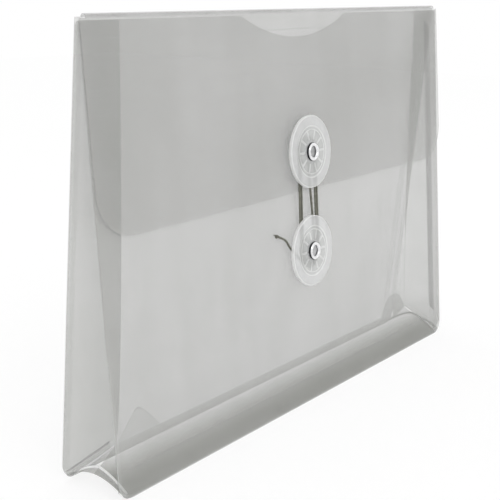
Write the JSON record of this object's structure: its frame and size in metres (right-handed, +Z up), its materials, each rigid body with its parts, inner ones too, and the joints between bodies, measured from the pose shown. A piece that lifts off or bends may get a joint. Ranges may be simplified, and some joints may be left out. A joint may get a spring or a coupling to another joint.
{
  "type": "string-tie document envelope",
  "caption": "Translucent plastic booklet envelope with expanding side and bottom gussets, a wide scored flap, and disc buttons closed by a wound string.",
  "frame": {"origin": "centre of the footprint on the floor, midway between the front and rear bottom edges", "axes": "+X to the right of someone facing the flap, -Y out of the front, +Z up"},
  "size_m": [0.3682, 0.0434, 0.2467],
  "materials": {
    "sheet": "translucent smoke grey polypropylene, semi-gloss with a fine grain",
    "film": "translucent smoke grey polypropylene film, semi-gloss",
    "weld": "knurled ultrasonic weld in the same plastic",
    "button": "frosted clear plastic, glossy",
    "rivet": "bright nickel plate",
    "cord": "braided dark grey cord"
  },
  "bodies": {
    "back": {"back_panel": "sheet", "right_rear_weld": "weld"},
    "gusset": {"left_gusset_front": "film", "left_gusset_rear": "film", "right_gusset_front": "film", "right_gusset_rear": "film", "left_front_mitre_seam": "weld", "left_rear_mitre_seam": "weld", "right_front_mitre_seam": "weld", "right_rear_mitre_seam": "weld", "bottom_gusset_front": "film", "bottom_gusset_rear": "film", "left_corner_tab": "film", "right_corner_tab": "film"},
    "front": {"front_panel": "sheet", "right_front_weld": "weld", "lower_hub": "button", "lower_rivet": "rivet", "lower_washer": "rivet", "flap_crease": "sheet"},
    "flap": {"flap_panel": "sheet", "upper_hub": "button", "upper_rivet": "rivet", "upper_washer": "rivet", "string_tie": "cord", "string_end_knot": "cord"},
    "upper_button": {"upper_disc": "button"},
    "lower_button": {"lower_disc": "button"}
  },
  "joints": [
    {"name": "gusset_unfold", "type": "hinge", "parent": "back", "child": "gusset", "pos_m": [0, 0, 0.24494], "axis": [-1, 0, 0], "range_deg": [-4.5, 1.75], "deforming": ["left_gusset_front", "left_gusset_rear", "right_gusset_front", "right_gusset_rear", "left_front_mitre_seam", "left_rear_mitre_seam", "right_front_mitre_seam", "right_rear_mitre_seam", "bottom_gusset_front", "bottom_gusset_rear", "left_corner_tab", "right_corner_tab", "flap_crease"]},
    {"name": "front_spread", "type": "hinge", "parent": "gusset", "child": "front", "pos_m": [0, 0, 0.24494], "axis": [-1, 0, 0], "range_deg": [-4.55, 1.8], "deforming": ["left_gusset_front", "left_gusset_rear", "right_gusset_front", "right_gusset_rear", "left_front_mitre_seam", "left_rear_mitre_seam", "right_front_mitre_seam", "right_rear_mitre_seam", "bottom_gusset_front", "bottom_gusset_rear", "left_corner_tab", "right_corner_tab", "flap_crease"]},
    {"name": "flap_lift", "type": "hinge", "parent": "front", "child": "flap", "pos_m": [0, 0, 0.24494], "axis": [-1, 0, 0], "range_deg": [0, 170], "deforming": ["flap_crease", "string_tie", "string_end_knot"]},
    {"name": "upper_disc_turn", "type": "hinge", "parent": "flap", "child": "upper_button", "pos_m": [0, -0.00968, 0.16118], "axis": [0, -0.9956, 0.0935], "continuous": true},
    {"name": "lower_disc_turn", "type": "hinge", "parent": "front", "child": "lower_button", "pos_m": [0, -0.01326, 0.09913], "axis": [0, -0.9964, 0.0848], "continuous": true}
  ],
  "couplings": [
    {"joint": "front_spread", "follows": "gusset_unfold", "ratio": 1}
  ]
}
